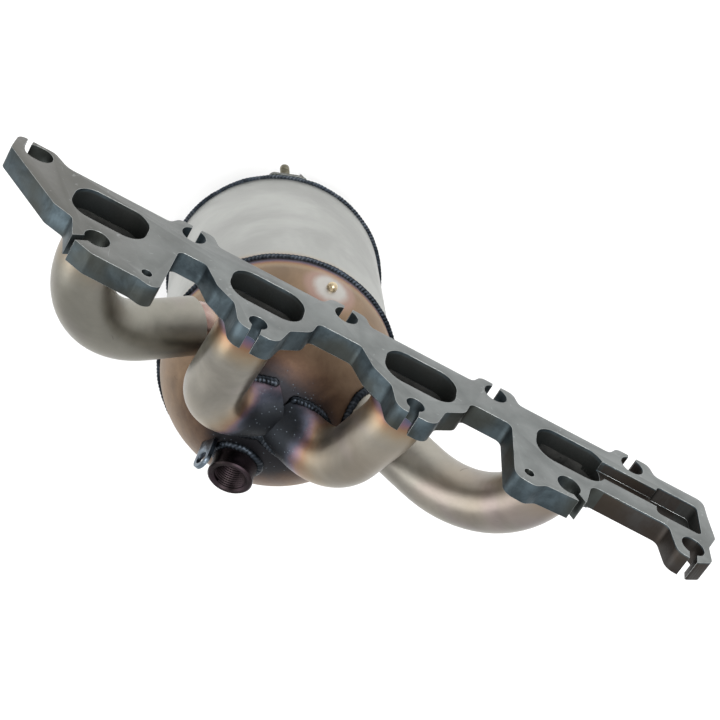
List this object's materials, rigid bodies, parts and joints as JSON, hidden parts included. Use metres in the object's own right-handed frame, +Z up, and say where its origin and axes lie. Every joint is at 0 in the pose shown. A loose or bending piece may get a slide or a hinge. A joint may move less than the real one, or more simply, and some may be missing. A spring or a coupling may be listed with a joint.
{
  "type": "exhaust manifold",
  "caption": "Tubular exhaust manifold: a flat port flange, bent runners welded into a domed catalyst canister, with sensor bosses and an outlet flange.",
  "frame": {"origin": "on the gasket face of the head flange, midway between the two middle ports, on the line of the port centres", "axes": "+X along the flange towards the end with the milled pocket, +Y out of the gasket face towards the engine, +Z up"},
  "size_m": [0.4001, 0.1937, 0.3943],
  "materials": {
    "flange": "ground face, mill scale on the edges",
    "tube": "stainless tube with heat tint",
    "dome": "stainless pressing with straw and brown heat tint",
    "shell": "matt stainless",
    "weld": "dark rippled weld with blue tint",
    "boss": "dark heat-tinted turned steel",
    "ceramic": null,
    "mat": "swelling fibre mat",
    "mesh": "knitted wire",
    "fastener": "zinc-plated steel",
    "plug": "dull yellow steel"
  },
  "bodies": {
    "root": {"brick_front": "ceramic", "brick_rear": "ceramic", "catalyst_shell": "shell", "dome_plug": "plug", "downstream_boss": "boss", "downstream_boss_weld": "weld", "eye_tab": "boss", "flange_weld_1": "weld", "flange_weld_2": "weld", "flange_weld_3": "weld", "flange_weld_4": "weld", "head_flange": "flange", "inlet_dome": "dome", "inlet_seam_weld": "weld", "mat_front": "mat", "mat_rear": "mat", "outlet_cone": "shell", "outlet_flange": "flange", "outlet_flange_weld": "weld", "outlet_pipe": "tube", "outlet_pipe_weld": "weld", "outlet_seam_weld": "weld", "outlet_studs": "fastener", "runner_1": "tube", "runner_1_neck": "dome", "runner_2": "tube", "runner_3": "tube", "runner_4": "tube", "saddle_weld_1": "weld", "saddle_weld_2": "weld", "saddle_weld_3": "weld", "saddle_weld_4": "weld", "seal_inlet": "mesh", "seal_outlet": "mesh", "shield_bracket": "flange", "shield_stud": "fastener", "upstream_boss": "boss", "upstream_boss_weld": "weld"}
  },
  "joints": []
}
